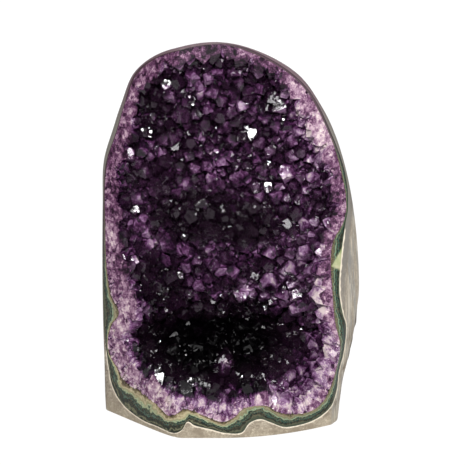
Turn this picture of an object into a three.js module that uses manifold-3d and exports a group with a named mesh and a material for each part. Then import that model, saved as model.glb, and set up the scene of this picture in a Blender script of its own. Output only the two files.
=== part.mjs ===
// Amethyst cluster: one half of a geode. Its base is sawn flat so that it stands, and the
// open front is ground to a smooth, bowed rim round a hollow lined with amethyst points.
// Millimetres, +Z up. The hollow opens towards -Y. The origin is on the sawn base, under
// the middle of the stone.

import * as THREE from 'three';
import { mergeVertices } from 'three/addons/utils/BufferGeometryUtils.js';
import { ConvexHull } from 'three/addons/math/ConvexHull.js';
import Module from 'manifold-3d';

// Driving dimensions of the stone
const HEIGHT = 200;
const FACE_FRONT = -55.5; // the ground face where it meets the base, at its most forward
const FACE_LEAN = 58; // how far the face leans back between the base and the top
const FACE_LEAN_POWER = 2.2;
const FACE_MIDDLE_X = -5;
const BOW_LEFT = { start: 20, roundness: 6.65 }; // the face turns back at 45 degrees from here
const BOW_RIGHT = { depth: 19, reach: 62 };
const SIDE_FACET_SLOPE = 1.6; // the second, narrower ground facet down the right side
const BACK = 44;
const BEVEL_DEPTH = 2;
const OUTLINE_MIDDLE_Z = 92;

// Edge between the face and the facet down its right side, as [z, x]
const ARRIS = [
	[0, 54], [10, 54], [25, 55.1], [40, 57.5], [55, 59.9], [70, 61], [80, 61], [100, 63],
	[120, 65], [200, 65],
];

// Outlines, seen from the front, as [x, z]. Each is a smooth closed curve.
const STONE_OUTLINE = [
	[-7, 199.3], [-34, 194.3], [-51, 181.6], [-58.4, 164.7], [-62.9, 151.6], [-68.2, 134],
	[-68.7, 112], [-69, 70], [-68.7, 30], [-68.4, 0], [-66, -22], [-40, -30], [0, -32],
	[38, -30], [54, -22], [57.8, 0], [59.2, 12], [60.6, 22], [62.8, 30], [64.3, 38],
	[66.4, 46], [67.6, 56], [69, 65], [68.8, 80], [66.4, 105], [63, 125.1],
	[59.7, 138.4], [55.2, 151.6], [48.8, 164.7], [36.2, 181.9], [14.5, 194.7],
];
const AGATE_OUTLINE = [
	[-0.5, 198.4], [-32, 194], [-50, 182], [-57, 164], [-61, 151], [-67, 133], [-68.3, 110],
	[-68.6, 70], [-68.2, 45], [-67, 33], [-66, 25], [-64.4, 16.5], [-60.5, 9.5], [-55, 5.5],
	[-47, 3], [-38.5, 2.8], [-29.5, 2.2], [-25, 5], [-22.5, 9.3], [-18.5, 7], [-10.5, 5],
	[-3.5, 3], [6, 2.9], [10, 8], [15.5, 9.8], [21, 7.4], [28, 3.9], [34, 3.5], [42.5, 4.4],
	[48.5, 6.6], [53.6, 10.6], [56.6, 17.2], [58, 29.3], [60.2, 37], [61.5, 52.5],
	[59.3, 61], [57.4, 73], [58.6, 93], [60.7, 107], [62, 114], [61, 130], [54.3, 150],
	[40.5, 175.6], [21.5, 190.5],
];
const CRYSTAL_OUTLINE = [
	[-9, 199], [-32, 194], [-49.2, 181.4], [-57, 163.3], [-64.9, 140.3], [-67.2, 125],
	[-67.2, 105], [-66.4, 80], [-64, 66], [-59.6, 58], [-63.8, 50], [-66.3, 41], [-65.7, 33.4],
	[-60.5, 26.5], [-57.5, 21], [-48.5, 18.6], [-38, 14.3], [-32, 11], [-24.4, 15.8],
	[-18, 14.4], [-10.7, 11.2], [-4.2, 9], [2.5, 12], [7, 16.2], [18.6, 17], [24.6, 12.9],
	[32, 10.3], [41, 10], [47.2, 12.5], [51.3, 17.6], [56.1, 30.7], [58.3, 42], [55.1, 57.5],
	[53.2, 77.7], [52.6, 88.3], [53.7, 98.5], [60, 109], [61, 118], [57.5, 136.1],
	[52.7, 150.5], [38.8, 175.7], [20.4, 189.8],
];
// Width of the crust where the face cuts through it, as [angle in degrees, width]
const CRUST_WIDTH = [
	[-180, 5], [-160, 7], [-140, 10], [-125, 11], [-110, 9], [-90, 6], [-70, 5], [-50, 6],
	[-30, 5], [0, 3], [30, 4], [50, 5], [70, 4], [90, 2.5], [120, 3], [150, 4], [180, 5],
];
const THINNEST_SKIN = 1.3;
const THINNEST_AGATE = 1.1;

// How the stone and its layers run back from the face: a higher power is a fuller bulge.
// The first power is at the sides and below, and the second at the top.
const SKIN_POWER = [3.2, 1.7];
const LAYER_POWER = [4, 2.4];
const AGATE_BACK = 30;
const CRUST_BACK = 23;
const LAYER_GAP = 0.3;

// The hollow. Its back wall on the centre line, as [z, y]: a dark pocket low down, a swell above
const HOLLOW_BACK = [
	[0, -16], [22, -10], [30, 3], [38, 10], [46, 9], [56, -2], [68, -11], [78, -12],
	[100, -8], [130, -1], [160, 5], [180, 10], [200, 15],
];
const HOLLOW_POWER = { sides: 2.2, floor: 4.5 };
const HOLLOW_SWELL = 3;
const LIP_UNDERCUT = 0.05; // the floor dips behind the lip, as a share of the radius
const UNDERCUT_SPEED = 1.6; // the dip ends at the way of one over this
const HOLLOW_EYE = new THREE.Vector3(-2, -72, 94);
const MOUTH_REACH = 40; // the hollow goes on to the front of the face, to cut it through
const MOUTH_FLARE = 0.1;
const CAP_Y = -105;
const CAP_SHARE = 0.8;
const CAP_CORNERS = 12;

// Crystals
const CRYSTAL_SEED = 61;
const CRYSTAL_TRIES = 42000;
const CRYSTAL_SPACING = [4.5, 6.8];
const SMALL_BIAS = 1.6; // above 1, small crystals are the common ones
const BIG_CRYSTALS = 26;
const BIG_SPACING = 10.5;
const BACK_SHARE = 0.6; // of the tries, on the back wall
const FIRST_WAY = -0.15; // the first crystals stand in front of the face and are ground away
const LAST_WAY = 0.999;
const GROWING_WAY = -0.05; // in front of this there is only the mouth
const TOWARDS_OPENING = 0.5;
const ASKEW = 0.5;
const TIP_HEIGHT = 0.62; // height of a tip over its valleys, as a share of its spacing
const TIP_SHARES = [1, 0.7, 0.45, 0.25]; // a crowded crystal is as tall as its place allows
const VALLEY_DEPTH = 0.2;
const WIDEST_VALLEY = 7;

// Mesh steps
const CURVE_STEPS = 12;
const ROUND_STEPS = 62;
const LOW_SIDE_CROWDING = 0.42; // steps are closer together along the wavy lower rim
const WELD = 1e-3;
const SLOPE_STEP = 0.01;

function interpolate(table, at) {
	const next = table.findIndex(([key]) => key >= at);
	if (next <= 0) return next === 0 ? table[0][1] : table[table.length - 1][1];
	const [lowKey, lowValue] = table[next - 1];
	const [highKey, highValue] = table[next];
	return THREE.MathUtils.mapLinear(at, lowKey, highKey, lowValue, highValue);
}

function byHeight(angle, [sides, top]) {
	return THREE.MathUtils.lerp(sides, top, THREE.MathUtils.smoothstep(Math.sin(angle), 0, 1));
}

// Radius of a closed outline about the middle of the face, by angle
function radiusByAngle(points) {
	const controls = points.map(([x, z]) => new THREE.Vector2(x, z - OUTLINE_MIDDLE_Z));
	const curve = new THREE.CatmullRomCurve3(
		controls.map((p) => new THREE.Vector3(p.x, p.y, 0)), true, 'centripetal');
	const table = curve.getPoints(points.length * CURVE_STEPS)
		.map((p) => [Math.atan2(p.y, p.x), Math.hypot(p.x, p.y)])
		.sort((a, b) => a[0] - b[0]);
	const first = table[0];
	const last = table[table.length - 1];
	table.unshift([last[0] - 2 * Math.PI, last[1]]);
	table.push([first[0] + 2 * Math.PI, first[1]]);
	return (angle) => interpolate(table, Math.atan2(Math.sin(angle), Math.cos(angle)));
}

const stoneRadius = radiusByAngle(STONE_OUTLINE);
const agateCurve = radiusByAngle(AGATE_OUTLINE);
const crystalCurve = radiusByAngle(CRYSTAL_OUTLINE);
const agateRadius = (angle) => Math.min(agateCurve(angle), stoneRadius(angle) - THINNEST_SKIN);
const crystalRadius = (angle) => Math.min(crystalCurve(angle), agateRadius(angle) - THINNEST_AGATE);
const hollowRadius = (angle) => {
	const degrees = THREE.MathUtils.radToDeg(Math.atan2(Math.sin(angle), Math.cos(angle)));
	return crystalRadius(angle) - interpolate(CRUST_WIDTH, degrees);
};

function onOutline(angle, radius, y) {
	return new THREE.Vector3(
		radius * Math.cos(angle), y, OUTLINE_MIDDLE_Z + radius * Math.sin(angle));
}

// The ground face: it leans back more towards the top, falls away at 45 degrees on the left,
// and is bowed less on the right, up to the facet
function bow(x) {
	if (x >= FACE_MIDDLE_X) return BOW_RIGHT.depth * ((x - FACE_MIDDLE_X) / BOW_RIGHT.reach) ** 2;
	const beyond = Math.max(0, FACE_MIDDLE_X - BOW_LEFT.start - x);
	return Math.hypot(BOW_LEFT.roundness, beyond) - BOW_LEFT.roundness;
}

function faceY(x, z) {
	const lean = FACE_LEAN * (Math.max(z, 0) / HEIGHT) ** FACE_LEAN_POWER;
	const edge = interpolate(ARRIS, z);
	const facet = x > edge ? bow(edge) + SIDE_FACET_SLOPE * (x - edge) : 0;
	return FACE_FRONT + lean + Math.max(bow(x), facet);
}

function faceYAt(angle, radius) {
	return faceY(radius * Math.cos(angle), OUTLINE_MIDDLE_Z + radius * Math.sin(angle));
}

// A closed skin whose rows run from a front pole to a back pole, round an axis along Y.
// place(row, angle) gives each point, and a row on the axis gives one point at any angle.
function wrappedSkin(rows, place) {
	const geometry = new THREE.SphereGeometry(1, ROUND_STEPS, rows - 1);
	const position = geometry.attributes.position;
	for (let i = 0; i < position.count; i += 1) {
		const even = Math.atan2(position.getZ(i), position.getX(i));
		const angle = even - LOW_SIDE_CROWDING * Math.cos(even);
		const row = Math.round(geometry.attributes.uv.getY(i) * (rows - 1));
		const point = place(row, angle);
		position.setXYZ(i, point.x, point.y, point.z);
	}
	geometry.deleteAttribute('normal');
	geometry.deleteAttribute('uv');
	return mergeVertices(geometry, WELD);
}

// Outside of the stone: ground face, bevelled edge, and the rough skin of the back.
// Face rows are shares of the outline's radius, and skin rows are ways from the edge to the back.
const FACE_ROWS = [0, 0.35, 0.6, 0.8, 0.92, 0.975];
const SKIN_WAYS = [0.2, 0.4, 0.58, 0.74, 0.88, 0.96, 0.99, 1];
const SKIN_LUMP = 2.2;

// Between -1 and 1: the large lumps of the skin
function skinSwell({ x, y, z }) {
	const across = Math.sin(x / 17 + 2 * Math.sin(z / 29));
	const up = Math.sin(z / 21 + 1.7 * Math.sin(y / 19) + 1.1);
	return (across + up) / 2;
}

function stonePoint(row, angle) {
	const radius = stoneRadius(angle);
	if (row < FACE_ROWS.length) {
		const share = FACE_ROWS[row];
		return onOutline(angle, radius * share, faceYAt(angle, radius * share));
	}
	const edgeY = faceYAt(angle, radius) + BEVEL_DEPTH;
	if (row === FACE_ROWS.length) return onOutline(angle, radius, edgeY);
	const way = SKIN_WAYS[row - FACE_ROWS.length - 1];
	const share = Math.sqrt(1 - way ** byHeight(angle, SKIN_POWER));
	const point = onOutline(angle, radius * share, edgeY + (BACK - edgeY) * way);
	const lump = SKIN_LUMP * (skinSwell(point) - 1) * THREE.MathUtils.smoothstep(way, 0.1, 0.5);
	const outwards = new THREE.Vector3(
		Math.cos(angle) * share, way * way, Math.sin(angle) * share).normalize();
	return point.addScaledVector(outwards, lump);
}

// Outside of a lining layer: a cup that starts in front of the face and closes at its back
const CUP_SHARES = [1, 0.985, 0.93, 0.83, 0.66, 0.4, 0];
const CUP_FLARE = 1.01;

function cupPoint(row, angle, radiusAt, backY, shrink) {
	const radius = radiusAt(angle) - shrink;
	const edgeY = faceYAt(angle, radius);
	if (row === 0) return new THREE.Vector3(0, CAP_Y, OUTLINE_MIDDLE_Z);
	if (row === 1) return onOutline(angle, radius * CUP_FLARE, CAP_Y);
	const share = CUP_SHARES[row - 2];
	const way = Math.sqrt(1 - share ** byHeight(angle, LAYER_POWER));
	return onOutline(angle, radius * share, edgeY + (backY - shrink - edgeY) * way);
}

function cup(radiusAt, backY, shrink) {
	return wrappedSkin(CUP_SHARES.length + 2,
		(row, angle) => cupPoint(row, angle, radiusAt, backY, shrink));
}

// Between -1 and 1: the swells of the hollow's back wall
function wallSwell({ x, z }) {
	const across = Math.sin(x / 8.5 + 1.3 * Math.sin(z / 15));
	const up = Math.sin(z / 9.5 + 1.1 * Math.sin(x / 13) + 0.7);
	return (across + up) / 2;
}

// Wall of the hollow at an angle and a way back: 0 at the face, 1 at the middle of the back
function wallPoint(angle, way) {
	const edge = hollowRadius(angle);
	const edgeY = faceYAt(angle, edge);
	if (way < 0) return onOutline(angle, edge * (1 - MOUTH_FLARE * way), edgeY + MOUTH_REACH * way);
	const down = Math.max(0, -Math.sin(angle));
	const undercut = 1 + LIP_UNDERCUT * down * Math.sin(Math.PI * Math.min(1, UNDERCUT_SPEED * way));
	const power = THREE.MathUtils.lerp(HOLLOW_POWER.sides, HOLLOW_POWER.floor, down);
	const radius = edge * undercut * Math.sqrt(Math.max(0, 1 - way ** power));
	const point = onOutline(angle, radius, 0);
	const back = interpolate(HOLLOW_BACK, point.z) + HOLLOW_SWELL * wallSwell(point);
	point.y = edgeY + (back - edgeY) * way;
	return point;
}

function seededStream(seed) {
	THREE.MathUtils.seededRandom(seed);
	return () => THREE.MathUtils.seededRandom();
}

// Places of the crystals: big ones first, then smaller ones fitted between them
function crystalSites() {
	const random = seededStream(CRYSTAL_SEED);
	const sites = [];
	for (let i = 0; i < CRYSTAL_TRIES; i += 1) {
		const big = sites.length < BIG_CRYSTALS;
		const angle = 2 * Math.PI * random();
		const onBack = random() < BACK_SHARE;
		const way = onBack ? random() ** (1 / HOLLOW_POWER.floor) : FIRST_WAY + (1 - FIRST_WAY) * random();
		const spacing = big ? BIG_SPACING : THREE.MathUtils.lerp(...CRYSTAL_SPACING, random() ** SMALL_BIAS);
		const root = wallPoint(angle, Math.min(way, LAST_WAY));
		const free = sites.every((other) => root.distanceTo(other.root) > (spacing + other.spacing) / 2);
		if (free) sites.push({ root, spacing, angle, way, lean: random() - 0.5, turn: random() - 0.5 });
	}
	return sites;
}

// Direction in which a crystal grows: across the wall, towards the hollow, a little askew
function growthDirection({ root, angle, way, lean, turn }) {
	const across = wallPoint(angle + SLOPE_STEP, way).sub(wallPoint(angle - SLOPE_STEP, way));
	const inwards = wallPoint(angle, way + SLOPE_STEP).sub(wallPoint(angle, way - SLOPE_STEP));
	const normal = across.cross(inwards).normalize();
	const toEye = HOLLOW_EYE.clone().sub(root).normalize();
	if (normal.dot(toEye) < 0) normal.negate();
	return normal.addScaledVector(toEye, TOWARDS_OPENING)
		.add(new THREE.Vector3(lean, 0, turn).multiplyScalar(ASKEW))
		.normalize();
}

// The empty space of the hollow as one solid, with a pit for each crystal's point to fill.
// Each crystal takes the ground nearer to it than to its neighbours: the triangles between
// the sites have their middles as valley corners, and the facets rise from these to the tip.
function hollowSolid() {
	const sites = crystalSites();
	const capPoints = Array.from({ length: CAP_CORNERS }, (_, i) => {
		const angle = 2 * Math.PI * i / CAP_CORNERS;
		return onOutline(angle, CAP_SHARE * hollowRadius(angle), CAP_Y);
	});
	capPoints.push(new THREE.Vector3(0, CAP_Y, OUTLINE_MIDDLE_Z));
	const roots = sites.map((site) => site.root).concat(capPoints);
	const rays = roots.map((root) => root.clone().sub(HOLLOW_EYE).normalize());
	const indexOf = new Map(rays.map((ray, i) => [ray, i]));
	const hull = new ConvexHull().setFromPoints(rays);

	const valleys = [];
	const valleyOf = new Map();
	const leaving = roots.map(() => []);
	for (const face of hull.faces) {
		const corners = [0, 1, 2].map((k) => indexOf.get(face.getEdge(k).head().point));
		const valley = corners.reduce((sum, i) => sum.add(roots[i]), new THREE.Vector3()).divideScalar(3);
		const size = Math.min(roots[corners[0]].distanceTo(roots[corners[1]]), WIDEST_VALLEY);
		const onWall = corners.every((i) => i < sites.length && sites[i].way > GROWING_WAY);
		const outwards = valley.clone().sub(HOLLOW_EYE).normalize();
		if (onWall) valley.addScaledVector(outwards, VALLEY_DEPTH * size);
		valleyOf.set(face, valleys.length);
		valleys.push(valley);
		for (let k = 0; k < 3; k += 1) {
			const edge = face.getEdge(k);
			leaving[indexOf.get(edge.tail().point)].push({ face, opposite: edge.twin.face });
		}
	}

	const vertices = [...valleys];
	const triangles = [];
	roots.forEach((root, i) => {
		const site = sites[i];
		const height = site && site.way > GROWING_WAY ? TIP_HEIGHT * site.spacing : 0;
		const growth = height ? growthDirection(site) : new THREE.Vector3();
		const pairs = leaving[i].map(({ face, opposite }) => [valleyOf.get(opposite), valleyOf.get(face)]);
		const clear = (tip) => pairs.every(([a, b]) => facesOut(tip, vertices[a], vertices[b]));
		const apex = TIP_SHARES.map((share) => root.clone().addScaledVector(growth, share * height))
			.find(clear) ?? root;
		vertices.push(apex);
		for (const [a, b] of pairs) triangles.push([vertices.length - 1, a, b]);
	});
	return indexedGeometry(vertices, triangles);
}

function facesOut(a, b, c) {
	const across = b.clone().sub(a).cross(c.clone().sub(a));
	return across.dot(a.clone().sub(HOLLOW_EYE)) > 0;
}

function indexedGeometry(vertices, triangles) {
	const geometry = new THREE.BufferGeometry().setFromPoints(vertices);
	geometry.setIndex(triangles.flat());
	return geometry;
}

// Cutting and joining of closed solids
const manifold = await Module();
manifold.setup();

function toSolid(geometry) {
	return new manifold.Manifold(new manifold.Mesh({
		numProp: 3,
		vertProperties: new Float32Array(geometry.attributes.position.array),
		triVerts: new Uint32Array(geometry.index.array),
	}));
}

function toGeometry(solid) {
	const cut = solid.getMesh();
	const geometry = new THREE.BufferGeometry();
	geometry.setAttribute('position', new THREE.BufferAttribute(cut.vertProperties, 3));
	geometry.setIndex(new THREE.BufferAttribute(cut.triVerts, 1));
	geometry.computeVertexNormals();
	return geometry;
}

// The whole stone, standing on its sawn base
const ROOMY = 2 * HEIGHT; // wider and taller than the stone

function everythingAboveBase() {
	const geometry = new THREE.BoxGeometry(ROOMY, ROOMY, ROOMY);
	geometry.deleteAttribute('normal');
	geometry.deleteAttribute('uv');
	return mergeVertices(geometry.translate(0, 0, ROOMY / 2));
}

const stone = toSolid(wrappedSkin(FACE_ROWS.length + 1 + SKIN_WAYS.length, stonePoint))
	.intersect(toSolid(everythingAboveBase()));

// Rock: the grey-brown basalt that the geode grew in
function makeRockShell() {
	const solid = stone.subtract(toSolid(cup(agateRadius, AGATE_BACK, 0)));
	const material = new THREE.MeshStandardMaterial({ color: 0x9a8c78, roughness: 0.75, metalness: 0 });
	return namedMesh('rock_shell', solid, material);
}

// Agate: the banded green lining between the rock and the crystals
function makeAgateLining() {
	const solid = stone
		.intersect(toSolid(cup(agateRadius, AGATE_BACK, LAYER_GAP)))
		.subtract(toSolid(cup(crystalRadius, CRUST_BACK, 0)));
	const material = new THREE.MeshStandardMaterial({ color: 0x4c5e4e, roughness: 0.25, metalness: 0 });
	return namedMesh('agate_lining', solid, material);
}

// Amethyst: one crust of crystals grown together, ground flat where the face cuts it. A
// splinter that the grinding would cut loose is left out.
function makeCrystalCrust() {
	const ground = stone
		.intersect(toSolid(cup(crystalRadius, CRUST_BACK, LAYER_GAP)))
		.subtract(toSolid(hollowSolid()));
	const [solid] = ground.decompose().sort((a, b) => b.volume() - a.volume());
	const material = new THREE.MeshStandardMaterial({ color: 0x5a2f66, roughness: 0.1, metalness: 0 });
	return namedMesh('crystal_crust', solid, material);
}

function namedMesh(name, solid, material) {
	const mesh = new THREE.Mesh(toGeometry(solid), material);
	mesh.name = name;
	return mesh;
}

const amethystCluster = new THREE.Group();
amethystCluster.name = 'amethyst_cluster';
amethystCluster.add(makeRockShell(), makeAgateLining(), makeCrystalCrust());
const middle = new THREE.Box3().setFromObject(amethystCluster).getCenter(new THREE.Vector3());
amethystCluster.position.set(-middle.x, -middle.y, 0);

export default amethystCluster;
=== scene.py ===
import math

import bmesh
import bpy
import numpy as np
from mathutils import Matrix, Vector, noise


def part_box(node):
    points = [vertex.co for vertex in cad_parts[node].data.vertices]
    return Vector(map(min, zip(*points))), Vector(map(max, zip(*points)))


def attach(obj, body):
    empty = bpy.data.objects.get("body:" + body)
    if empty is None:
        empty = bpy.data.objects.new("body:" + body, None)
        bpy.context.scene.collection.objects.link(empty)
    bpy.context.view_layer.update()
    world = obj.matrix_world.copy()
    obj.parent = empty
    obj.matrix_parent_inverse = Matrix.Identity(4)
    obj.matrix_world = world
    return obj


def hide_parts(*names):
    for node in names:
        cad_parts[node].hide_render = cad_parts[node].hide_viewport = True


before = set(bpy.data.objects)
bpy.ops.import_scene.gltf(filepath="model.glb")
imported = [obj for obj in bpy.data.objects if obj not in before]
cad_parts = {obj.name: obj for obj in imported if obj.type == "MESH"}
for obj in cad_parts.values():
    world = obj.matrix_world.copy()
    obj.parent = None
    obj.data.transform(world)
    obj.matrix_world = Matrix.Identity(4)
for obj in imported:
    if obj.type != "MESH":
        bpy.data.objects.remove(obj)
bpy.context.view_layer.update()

# The rock: basalt, the grey-brown lava that the geode grew in. It is one half of a nodule.
# Its base is sawn flat, its front is ground to a bowed face with a rounded edge, and its
# back keeps the rough, pitted skin that it had in the ground.
# Lengths are in millimetres: x to the right, y to the back and z up from the sawn base.
MM = 0.001
STONE_HEIGHT = 200
OUTLINE_MIDDLE_Z = 92
FACE_FRONT = -55.5
FACE_LEAN = 58
FACE_LEAN_POWER = 2.2
FACE_MIDDLE_X = -5
BOW_LEFT = (20, 6.65)
BOW_RIGHT = (19, 62)
SIDE_FACET_SLOPE = 1.6
ARRIS = [
    (0, 54), (10, 54), (25, 55.1), (40, 57.5), (55, 59.9), (70, 61), (80, 61), (100, 63),
    (120, 65), (200, 65),
]
STONE_BACK = 44
EDGE_ROUNDING = 2
THINNEST_SKIN = 0.4
# Exponents of rounded profiles, at the sides and at the top: the greater, the squarer
SKIN_POWER = (3.2, 1.7)
STONE_OUTLINE = [
    (-7, 199.3), (-34, 194.3), (-51, 181.6), (-58.4, 164.7), (-62.9, 151.6), (-68.2, 134),
    (-68.7, 112), (-69, 70), (-68.7, 30), (-68.4, 0), (-66, -22), (-40, -30), (0, -32),
    (38, -30), (54, -22), (57.8, 0), (59.2, 12), (60.6, 22), (62.8, 30), (64.3, 38),
    (66.4, 46), (67.6, 56), (69, 65), (68.8, 80), (66.4, 105), (63, 125.1),
    (59.7, 138.4), (55.2, 151.6), (48.8, 164.7), (36.2, 181.9), (14.5, 194.7),
]
AGATE_OUTLINE = [
    (-0.5, 198.4), (-32, 194), (-50, 182), (-57, 164), (-61, 151), (-67, 133), (-68.3, 110),
    (-68.6, 70), (-68.2, 45), (-67, 33), (-66, 25), (-64.4, 16.5), (-60.5, 9.5), (-55, 5.5),
    (-47, 3), (-38.5, 2.8), (-29.5, 2.2), (-25, 5), (-22.5, 9.3), (-18.5, 7), (-10.5, 5),
    (-3.5, 3), (6, 2.9), (10, 8), (15.5, 9.8), (21, 7.4), (28, 3.9), (34, 3.5), (42.5, 4.4),
    (48.5, 6.6), (53.6, 10.6), (56.6, 17.2), (58, 29.3), (60.2, 37), (61.5, 52.5),
    (59.3, 61), (57.4, 73), (58.6, 93), (60.7, 107), (62, 114), (61, 130), (54.3, 150),
    (40.5, 175.6), (21.5, 190.5),
]
AGATE_BACK = 30
CUP_POWER = (4, 2.4)
STEPS_ROUND = 400
LOW_SIDE_CROWDING = 0.42
POCKET_ROWS = 20
RIM_ROWS = 9
ROUNDING_ROWS = 6
SKIN_ROWS = 110
USUAL_PROFILE = (100, 70)
SKIN_SWELL = 2.2
CLOD_SIZE = 13
CLOD_HEIGHT = 1.5
PIT_SPACING = 5.5
PIT_REACH = 0.32
PIT_DEPTH = 2.6
SKIN_SINK = 0.8
KNOB_BOTTOM, KNOB_TOP = 27, 62
KNOB_HEIGHT = 1.4
KNOB_SIZE = 2.6
CREASE = math.radians(35)


def smooth_outline(points, steps=12):
    """A smooth closed curve through the points, which doesn't swing out between near ones."""
    knots = np.array(points, float)
    spans = []
    for i in range(len(knots)):
        a, b, c, d = (knots[(i + k) % len(knots)] for k in (-1, 0, 1, 2))
        roots = [math.sqrt(math.dist(*pair)) for pair in ((a, b), (b, c), (c, d))]
        ta, tb, tc, td = np.cumsum([0, *roots])
        t = np.linspace(tb, tc, steps, endpoint=False)[:, None]
        ab = ((tb - t) * a + (t - ta) * b) / (tb - ta)
        bc = ((tc - t) * b + (t - tb) * c) / (tc - tb)
        cd = ((td - t) * c + (t - tc) * d) / (td - tc)
        abc = ((tc - t) * ab + (t - ta) * bc) / (tc - ta)
        bcd = ((td - t) * bc + (t - tb) * cd) / (td - tb)
        spans.append(((tc - t) * abc + (t - tb) * bcd) / (tc - tb))
    return np.concatenate(spans)


def radius_by_angle(points):
    curve = smooth_outline(points) - (0, OUTLINE_MIDDLE_Z)
    angles = np.arctan2(curve[:, 1], curve[:, 0])
    radii = np.hypot(curve[:, 0], curve[:, 1])
    return lambda angle: np.interp(angle, angles, radii, period=2 * math.pi)


def smoothstep(value, low, high):
    share = np.clip((value - low) / (high - low), 0, 1)
    return share * share * (3 - 2 * share)


def bow(x):
    """How far the ground face falls back: at 45 degrees on the left, and less on the right."""
    start, roundness = BOW_LEFT
    beyond = np.maximum(0, FACE_MIDDLE_X - start - x)
    depth, reach = BOW_RIGHT
    left = np.hypot(roundness, beyond) - roundness
    return np.where(x < FACE_MIDDLE_X, left, depth * ((x - FACE_MIDDLE_X) / reach) ** 2)


def arris_x(z):
    """Where the ground face meets the narrower facet that is ground down its right side."""
    return np.interp(z, *np.transpose(ARRIS))


def face_y(x, z):
    lean = FACE_LEAN * (np.maximum(z, 0) / STONE_HEIGHT) ** FACE_LEAN_POWER
    edge = arris_x(z)
    facet = np.where(x > edge, bow(edge) + SIDE_FACET_SLOPE * (x - edge), 0)
    return FACE_FRONT + lean + np.maximum(bow(x), facet)


def ring(angle, radius, y):
    """Points round the middle of the face, as x, y and z."""
    across = radius * np.cos(angle)
    up = OUTLINE_MIDDLE_Z + radius * np.sin(angle)
    return np.stack(np.broadcast_arrays(across, y, up), axis=-1)


def face_ring(angle, radius, behind=0):
    flat = ring(angle, radius, 0)
    flat[:, 1] = face_y(flat[:, 0], flat[:, 2]) + behind
    return flat


def by_height(angle, values):
    """The first value at the sides and below, and the second at the top."""
    return values[0] + (values[1] - values[0]) * smoothstep(np.sin(angle), 0, 1)


def cup_rows(angle, radius, back_y, rows):
    """Rows of a rounded cup from the middle of its back to its rim on the ground face."""
    edge_y = face_ring(angle, radius)[:, 1]
    power = by_height(angle, CUP_POWER)
    cup = [np.array([[0, back_y, OUTLINE_MIDDLE_Z]])]
    for share in np.sin(np.linspace(0, math.pi / 2, rows))[1:]:
        y = edge_y + (back_y - edge_y) * np.sqrt(1 - share ** power)
        cup.append(ring(angle, radius * share, y))
    return cup


def even_steps(path, count):
    """Shares of the way along a path that are evenly far apart."""
    lengths = np.concatenate([[0], np.cumsum(np.linalg.norm(np.diff(path, axis=0), axis=1))])
    return np.interp(np.linspace(0, lengths[-1], count), lengths, np.linspace(0, 1, len(path)))


even_turn = np.linspace(0, 2 * math.pi, STEPS_ROUND, endpoint=False)
around = even_turn - LOW_SIDE_CROWDING * np.cos(even_turn)
stone_radius = radius_by_angle(STONE_OUTLINE)
agate_curve = radius_by_angle(AGATE_OUTLINE)


def agate_radius(angle):
    return np.minimum(agate_curve(angle), stone_radius(angle) - THINNEST_SKIN)


# The frame stands with its middle over the origin: the outlines are moved there with it
rock_low, rock_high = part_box("rock_shell")
outline_x = ring(around, stone_radius(around), 0)[:, 0]
shift_x = (rock_low.x + rock_high.x) / 2 / MM - (outline_x.min() + outline_x.max()) / 2
shift_y = rock_low.y / MM - FACE_FRONT
TO_FRAME = np.array([shift_x, shift_y, 0])


def skin_mesh(name, rows, towards=None):
    """A skin through rows of points that go once round. A row of one point closes an end.

    A closed skin is turned outwards, and a sheet towards the given point."""
    starts = np.cumsum([0] + [len(row) for row in rows])
    steps = max(len(row) for row in rows)
    faces = []
    for row in range(len(rows) - 1):
        here, there = starts[row], starts[row + 1]
        for k in range(steps):
            after = (k + 1) % steps
            if len(rows[row]) == 1:
                faces.append((here, there + after, there + k))
            elif len(rows[row + 1]) == 1:
                faces.append((here + k, here + after, there))
            else:
                faces.append((here + k, here + after, there + after, there + k))
    mesh = bpy.data.meshes.new(name)
    mesh.from_pydata((np.concatenate(rows) + TO_FRAME) * MM, [], faces)
    skin = bmesh.new()
    skin.from_mesh(mesh)
    bmesh.ops.recalc_face_normals(skin, faces=skin.faces)
    if towards is not None:
        target = Vector((np.array(towards) + TO_FRAME) * MM)
        facing = sum(
            face.normal.dot(target - face.calc_center_median()) * face.calc_area()
            for face in skin.faces
        )
        if facing < 0:
            bmesh.ops.reverse_faces(skin, faces=skin.faces)
    skin.to_mesh(mesh)
    skin.free()
    return mesh


def stone_places(mesh):
    """The places of a mesh's points in millimetres of the outlines."""
    places = np.empty(len(mesh.vertices) * 3)
    mesh.vertices.foreach_get("co", places)
    return places.reshape(-1, 3) / MM - TO_FRAME


def polar(places):
    """Angles and distances of places from the middle of the outlines."""
    up = places[:, 2] - OUTLINE_MIDDLE_Z
    return np.arctan2(up, places[:, 0]), np.hypot(places[:, 0], up)


def round_off(mesh):
    """Smooth shading, with creases kept."""
    mesh.polygons.foreach_set("use_smooth", [True] * len(mesh.polygons))
    mesh.set_sharp_from_angle(angle=CREASE)


def add_values(mesh, name, values, domain="POINT"):
    values = np.asarray(values, float)
    mesh.attributes.new(name, "FLOAT", domain).data.foreach_set("value", values)


def add_piece(name, mesh, material, cad_node):
    piece = bpy.data.objects.new(name, mesh)
    bpy.context.scene.collection.objects.link(piece)
    mesh.materials.clear()
    mesh.materials.append(material)
    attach(piece, "root")
    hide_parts(cad_node)
    return piece


def skin_swell(places):
    """The large lumps of the rough skin, 11 to 13 cm from one to the next."""
    x, y, z = np.moveaxis(places, -1, 0)
    return (np.sin(x / 17 + 2 * np.sin(z / 29)) + np.sin(z / 21 + 1.7 * np.sin(y / 19) + 1.1)) / 2


def edge_rounding(angle):
    """The radius of the rounded edge, which is finer where little rock is left."""
    return np.minimum(EDGE_ROUNDING, 0.8 * (stone_radius(angle) - agate_radius(angle)))


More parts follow.
